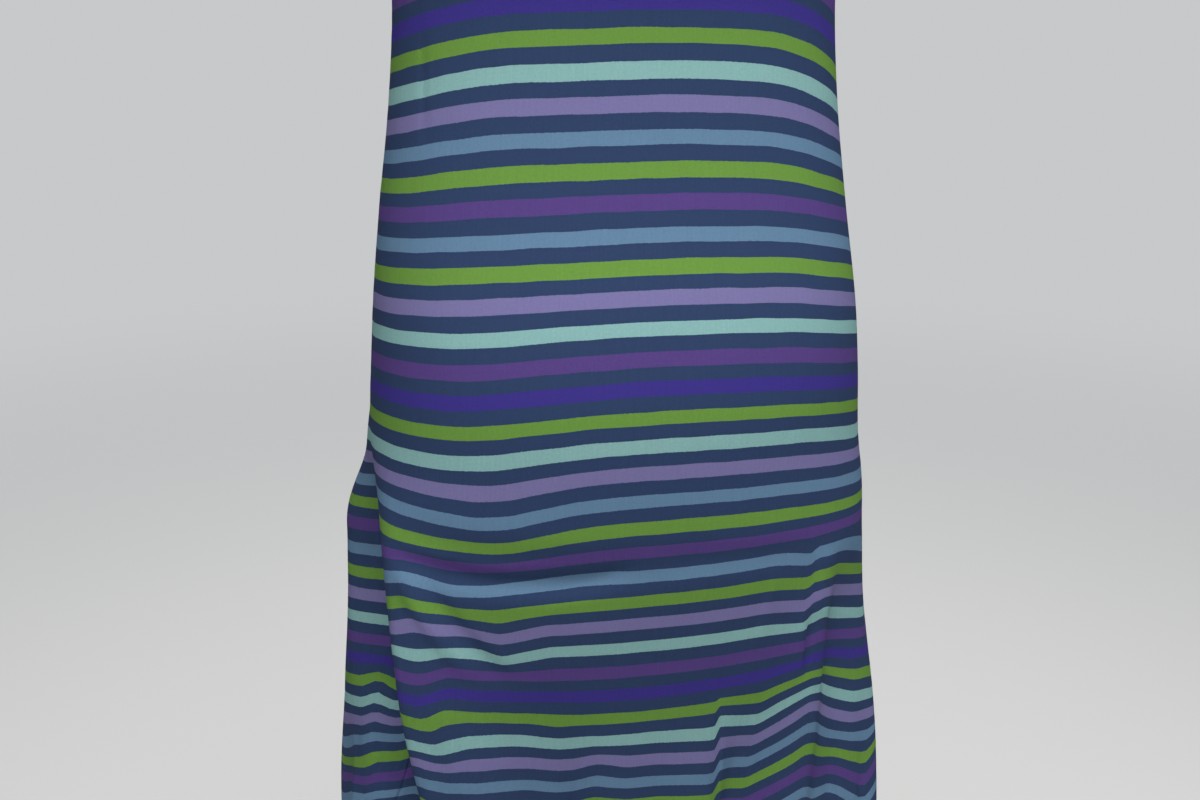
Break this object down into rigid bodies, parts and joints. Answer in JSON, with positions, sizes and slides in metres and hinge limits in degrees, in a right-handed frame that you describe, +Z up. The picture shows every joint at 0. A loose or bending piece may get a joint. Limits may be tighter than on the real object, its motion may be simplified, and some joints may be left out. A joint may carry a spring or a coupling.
{
  "type": "tank dress",
  "caption": "Sleeveless striped jersey tank dress with scoop neck and knee-covering skirt, worn shape with nobody in it.",
  "frame": {"origin": "midway between the tops of the two straps, where the wearer's shoulders hold the dress up", "axes": "+Z up, -Y towards the front of the dress, +X towards the right as seen from the front"},
  "size_m": [0.4192, 0.2392, 1.1336],
  "materials": {
    "striped_jersey": "matte fine cotton jersey with even stripes across, navy between each coloured one",
    "jersey_binding": "matte navy cotton jersey, folded double"
  },
  "bodies": {
    "root": {"front_panel": "striped_jersey", "back_panel": "striped_jersey", "neck_binding": "jersey_binding", "armhole_binding_left": "jersey_binding", "armhole_binding_right": "jersey_binding"}
  },
  "joints": []
}
